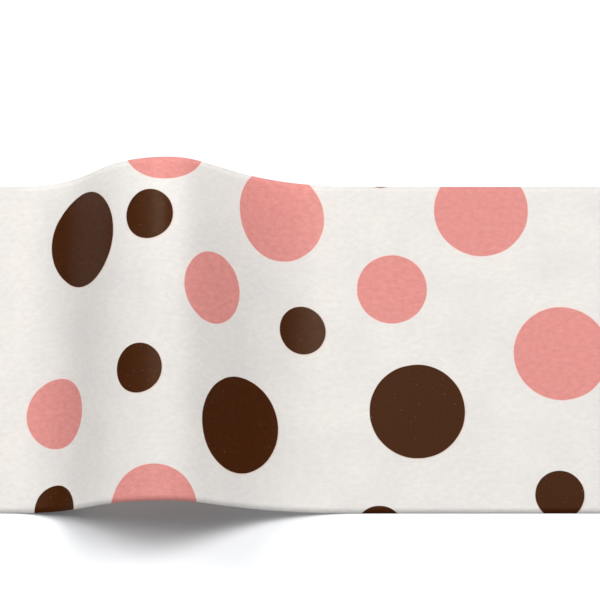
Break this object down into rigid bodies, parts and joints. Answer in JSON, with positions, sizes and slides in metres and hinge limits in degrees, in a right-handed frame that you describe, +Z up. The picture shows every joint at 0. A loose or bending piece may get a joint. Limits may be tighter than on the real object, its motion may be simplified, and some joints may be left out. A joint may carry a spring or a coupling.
{
  "type": "wrapping paper roll",
  "caption": "Narrow roll of dotted gift wrap on a board core, its outer turn pulled out over the table with one raised wave.",
  "frame": {"origin": "on the table, under the middle of the whole object", "axes": "+Z up, +Y along the roll's axis, +X from the paper's cut end towards the roll"},
  "size_m": [0.51, 0.1872, 0.07],
  "materials": {
    "core_board": "matte",
    "tape": "satin",
    "wound_edges": "matte",
    "printed_paper": "satin"
  },
  "bodies": {
    "web": {"free_stretch": "printed_paper", "outer_turn": "printed_paper"},
    "roll": {"core_inner_ply": "core_board", "core_middle_ply": "core_board", "core_outer_ply": "core_board", "start_tape": "tape", "wound_paper": "wound_edges"}
  },
  "joints": [
    {"name": "roll_spin", "type": "hinge", "parent": "web", "child": "roll", "pos_m": [0.22003, 0, 0.035], "axis": [0, 1, 0], "continuous": true}
  ]
}
